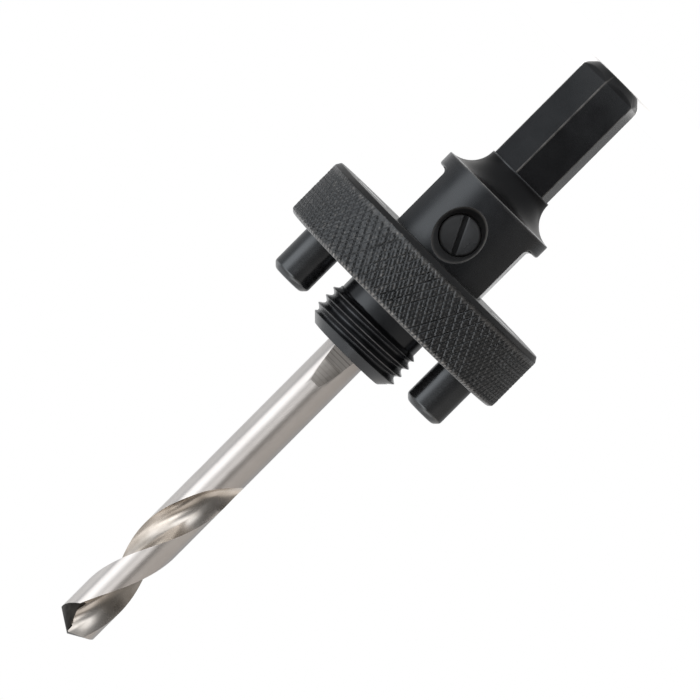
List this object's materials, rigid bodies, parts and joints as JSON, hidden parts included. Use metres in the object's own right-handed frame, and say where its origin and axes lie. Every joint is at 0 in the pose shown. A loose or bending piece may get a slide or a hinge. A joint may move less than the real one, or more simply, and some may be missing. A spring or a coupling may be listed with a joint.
{
  "type": "hole saw arbor",
  "caption": "Hexagon-shank arbor for hole saws, with a sliding knurled drive plate and its pins, a saw thread and a pilot twist drill held by a set screw.",
  "frame": {"origin": "centre of the hexagon shank's end face, on which the arbor stands", "axes": "+Z along the arbor's axis from the shank to the drill's tip; +X through the two drive pins; -Y out of the set screw's side"},
  "size_m": [0.04, 0.04, 0.111],
  "materials": {
    "black_body": "black oxide over turned steel, lightly oiled",
    "black_plate": "black oxide over a diamond knurl, worn bright on the front edge",
    "black_pins": "black oxide over ground steel, satin",
    "black_screw": "black oxide, satin",
    "spring_wire": "drawn spring wire, blackened",
    "bright_drill": "ground and polished high speed steel"
  },
  "bodies": {
    "body": {"arbor_body": "black_body", "pilot_drill": "bright_drill", "retaining_ring": "spring_wire"},
    "plate": {"drive_plate": "black_plate", "drive_pin_left": "black_pins", "drive_pin_right": "black_pins"},
    "screw": {"set_screw": "black_screw"}
  },
  "joints": [
    {"name": "plate_slide", "type": "slide", "parent": "body", "child": "plate", "axis": [0, 0, 1], "range_m": [-0.0091, 0]},
    {"name": "screw_travel", "type": "slide", "parent": "body", "child": "screw", "axis": [0, -1, 0], "range_m": [0, 0.0011]}
  ]
}
